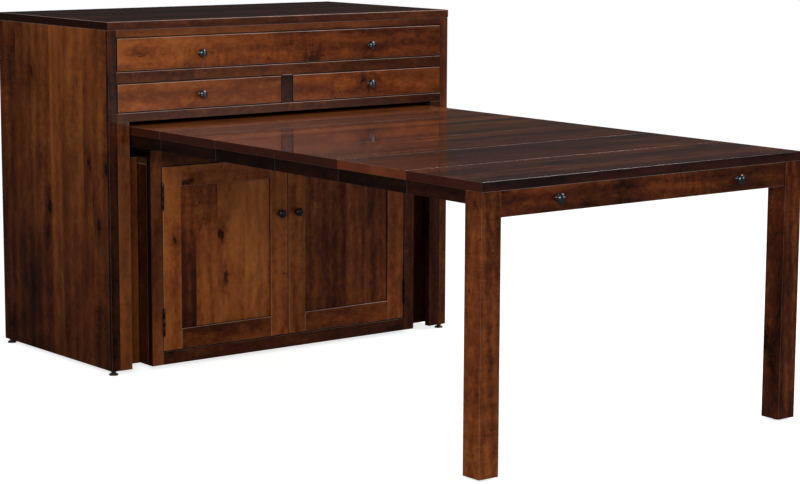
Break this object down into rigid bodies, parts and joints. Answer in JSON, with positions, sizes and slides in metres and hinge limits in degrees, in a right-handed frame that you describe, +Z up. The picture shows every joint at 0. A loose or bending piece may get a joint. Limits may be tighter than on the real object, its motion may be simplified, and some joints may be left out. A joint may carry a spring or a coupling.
{
  "type": "extendable console table",
  "caption": "Console cabinet with drawers and doors, and a leaf-extended dining table that slides out of its front.",
  "frame": {"origin": "on the floor, at the middle of the footprint of the console with its table pulled out", "axes": "+X to the right seen from the table's free end, +Y from the table towards the console and the wall, +Z up"},
  "size_m": [1.314, 2.339, 1.079],
  "materials": {
    "dark_wood": "dark stain under satin lacquer",
    "table_wood": "dark stain under glossy lacquer",
    "side_wood": "brown stain under satin lacquer",
    "drawer_wood": "red-brown stain under satin lacquer",
    "carcass_ply": "lacquered plywood",
    "box_maple": "clear satin lacquer",
    "dark_metal": "dark oil-rubbed metal",
    "foot_steel": "plated steel"
  },
  "bodies": {
    "console": {"left_side_panel": "side_wood", "right_side_panel": "side_wood", "console_top": "dark_wood", "back_panel": "carcass_ply", "top_rail": "dark_wood", "middle_rail": "dark_wood", "bay_rail": "dark_wood", "drawer_divider": "dark_wood", "bay_stiles": "dark_wood", "drawer_web": "carcass_ply", "bay_deck": "carcass_ply", "drawer_partition": "carcass_ply", "drawer_guides": "box_maple", "cabinet_stiles": "dark_wood", "cabinet_top_rail": "dark_wood", "cabinet_base_rail": "dark_wood", "cabinet_sides": "side_wood", "recess_backs": "side_wood", "cabinet_deck": "carcass_ply", "cabinet_floor": "carcass_ply", "frame_hinge_leaves": "dark_metal", "hinge_pins": "dark_metal", "fixed_slide_rails": "box_maple", "slide_cleats": "box_maple", "foot_inserts": "foot_steel", "levelling_feet": "foot_steel"},
    "table_rear": {"rear_top": "table_wood", "rear_skirts": "dark_wood", "rear_runners": "box_maple"},
    "slide_stage_1": {"slide_rails_1": "box_maple"},
    "slide_stage_2": {"slide_rails_2": "box_maple"},
    "slide_stage_3": {"slide_rails_3": "box_maple"},
    "table_front": {"front_top": "table_wood", "left_leg": "dark_wood", "right_leg": "dark_wood", "front_apron": "dark_wood", "front_skirts": "dark_wood", "front_slide_rails": "box_maple", "apron_knobs": "dark_metal", "leg_glides": "foot_steel"},
    "loose_leaf_1": {"leaf_1": "table_wood"},
    "loose_leaf_2": {"leaf_2": "table_wood"},
    "loose_leaf_3": {"leaf_3": "table_wood"},
    "loose_leaf_4": {"leaf_4": "table_wood"},
    "wide_drawer": {"wide_drawer_front": "drawer_wood", "wide_drawer_box": "box_maple", "wide_drawer_knobs": "dark_metal"},
    "left_drawer": {"left_drawer_front": "drawer_wood", "left_drawer_box": "box_maple", "left_drawer_knob": "dark_metal"},
    "right_drawer": {"right_drawer_front": "drawer_wood", "right_drawer_box": "box_maple", "right_drawer_knob": "dark_metal"},
    "left_door": {"left_door_frame": "drawer_wood", "left_door_panel": "drawer_wood", "left_door_hardware": "dark_metal"},
    "right_door": {"right_door_frame": "drawer_wood", "right_door_panel": "drawer_wood", "right_door_hardware": "dark_metal"}
  },
  "joints": [
    {"name": "table_slide", "type": "slide", "parent": "console", "child": "table_rear", "axis": [0, -1, 0], "range_m": [-0.46, 0]},
    {"name": "table_front_pull", "type": "slide", "parent": "table_rear", "child": "table_front", "axis": [0, -1, 0], "range_m": [0, 0.06]},
    {"name": "slide_stage_1_slide", "type": "slide", "parent": "console", "child": "slide_stage_1", "axis": [0, -1, 0], "range_m": [-0.115, 0]},
    {"name": "slide_stage_2_slide", "type": "slide", "parent": "console", "child": "slide_stage_2", "axis": [0, -1, 0], "range_m": [-0.23, 0]},
    {"name": "slide_stage_3_slide", "type": "slide", "parent": "console", "child": "slide_stage_3", "axis": [0, -1, 0], "range_m": [-0.345, 0]},
    {"name": "leaf_1_lift", "type": "slide", "parent": "table_rear", "child": "loose_leaf_1", "axis": [0, 0, 1], "range_m": [0, 0.25]},
    {"name": "leaf_2_lift", "type": "slide", "parent": "table_rear", "child": "loose_leaf_2", "axis": [0, 0, 1], "range_m": [0, 0.25]},
    {"name": "leaf_3_lift", "type": "slide", "parent": "table_rear", "child": "loose_leaf_3", "axis": [0, 0, 1], "range_m": [0, 0.25]},
    {"name": "leaf_4_lift", "type": "slide", "parent": "table_rear", "child": "loose_leaf_4", "axis": [0, 0, 1], "range_m": [0, 0.035]},
    {"name": "wide_drawer_slide", "type": "slide", "parent": "console", "child": "wide_drawer", "axis": [0, -1, 0], "range_m": [0, 0.42]},
    {"name": "left_drawer_slide", "type": "slide", "parent": "console", "child": "left_drawer", "axis": [0, -1, 0], "range_m": [0, 0.42]},
    {"name": "right_drawer_slide", "type": "slide", "parent": "console", "child": "right_drawer", "axis": [0, -1, 0], "range_m": [0, 0.42]},
    {"name": "left_door_hinge", "type": "hinge", "parent": "console", "child": "left_door", "pos_m": [-0.4725, 0.4891, 0.34], "axis": [0, 0, -1], "range_deg": [0, 105]},
    {"name": "right_door_hinge", "type": "hinge", "parent": "console", "child": "right_door", "pos_m": [0.4725, 0.4891, 0.34], "axis": [0, 0, 1], "range_deg": [0, 105]}
  ],
  "couplings": [
    {"joint": "slide_stage_1_slide", "follows": "table_slide", "ratio": 0.25},
    {"joint": "slide_stage_2_slide", "follows": "table_slide", "ratio": 0.5},
    {"joint": "slide_stage_3_slide", "follows": "table_slide", "ratio": 0.75}
  ]
}
